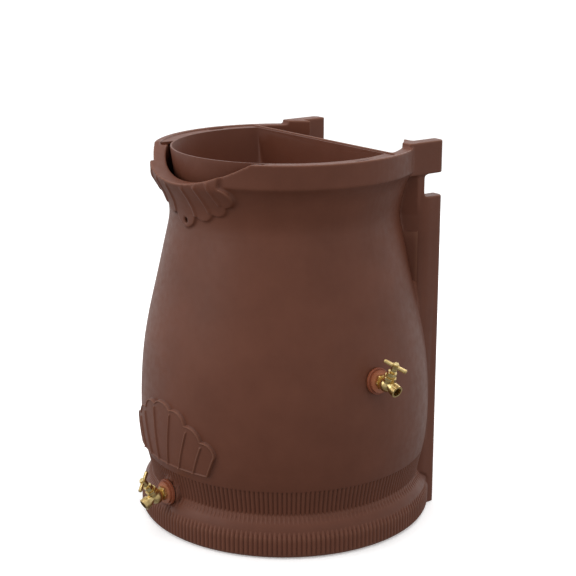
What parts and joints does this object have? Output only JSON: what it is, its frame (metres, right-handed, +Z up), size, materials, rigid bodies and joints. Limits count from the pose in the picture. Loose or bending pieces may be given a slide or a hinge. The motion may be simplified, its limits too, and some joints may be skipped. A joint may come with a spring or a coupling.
{
  "type": "rain barrel",
  "caption": "Urn-shaped plastic rain barrel with a lift-out planter in its top, a front spout, a flat back with a screened inlet, and brass taps with tee handles.",
  "frame": {"origin": "on the turned body's axis, at the ground under the foot ring", "axes": "+Z up, the front with the spout faces -Y, the flat back faces +Y, and the side tap is on +X"},
  "size_m": [0.7389, 0.6726, 0.853],
  "materials": {
    "barrel_plastic": "matte, finely textured",
    "planter_plastic": "matte, finely textured",
    "screen_plastic": "satin",
    "screen_mesh": "satin",
    "fitting_plastic": "satin",
    "gasket_rubber": "matte",
    "packing_graphite": "matte",
    "tap_brass": "cast, satin",
    "nut_brass": "machined",
    "stem_brass": "turned, bright",
    "handle_brass": "cast, satin"
  },
  "bodies": {
    "barrel": {"barrel_body": "barrel_plastic", "side_bulkhead_gasket": "gasket_rubber", "side_bulkhead_fitting": "fitting_plastic", "side_bulkhead_nut": "fitting_plastic", "side_tap_body": "tap_brass", "side_bonnet": "tap_brass", "side_packing": "packing_graphite", "side_packing_nut": "nut_brass", "front_bulkhead_gasket": "gasket_rubber", "front_bulkhead_fitting": "fitting_plastic", "front_bulkhead_nut": "fitting_plastic", "front_tap_body": "tap_brass", "front_bonnet": "tap_brass", "front_packing": "packing_graphite", "front_packing_nut": "nut_brass"},
    "planter": {"planter_tray": "planter_plastic"},
    "inlet_screen": {"inlet_screen_frame": "screen_plastic", "inlet_screen_mesh": "screen_mesh"},
    "side_jumper": {"side_jumper": "nut_brass", "side_seat_washer": "gasket_rubber", "side_washer_screw": "nut_brass"},
    "side_handle": {"side_stem": "stem_brass", "side_tee_handle": "handle_brass", "side_handle_screw": "stem_brass"},
    "front_jumper": {"front_jumper": "nut_brass", "front_seat_washer": "gasket_rubber", "front_washer_screw": "nut_brass"},
    "front_handle": {"front_stem": "stem_brass", "front_tee_handle": "handle_brass", "front_handle_screw": "stem_brass"}
  },
  "joints": [
    {"name": "planter_lift", "type": "slide", "parent": "barrel", "child": "planter", "axis": [0, 0, 1], "range_m": [0, 0.16]},
    {"name": "inlet_screen_lift", "type": "slide", "parent": "barrel", "child": "inlet_screen", "axis": [0, 0, 1], "range_m": [0, 0.2]},
    {"name": "side_valve_lift", "type": "slide", "parent": "barrel", "child": "side_jumper", "axis": [0.4848, 0, 0.8746], "range_m": [0, 0.006]},
    {"name": "side_valve_turn", "type": "hinge", "parent": "side_jumper", "child": "side_handle", "pos_m": [0.35865, 0, 0.38201], "axis": [0.4848, 0, 0.8746], "range_deg": [0, 1081]},
    {"name": "front_valve_lift", "type": "slide", "parent": "barrel", "child": "front_jumper", "axis": [0, -0.6018, 0.7986], "range_m": [0, 0.006]},
    {"name": "front_valve_turn", "type": "hinge", "parent": "front_jumper", "child": "front_handle", "pos_m": [0, -0.356, 0.096], "axis": [0, -0.6018, 0.7986], "range_deg": [0, 1081]}
  ],
  "couplings": [
    {"joint": "side_valve_turn", "follows": "side_valve_lift", "rad_per_m": 3141.6},
    {"joint": "front_valve_turn", "follows": "front_valve_lift", "rad_per_m": 3141.6}
  ]
}
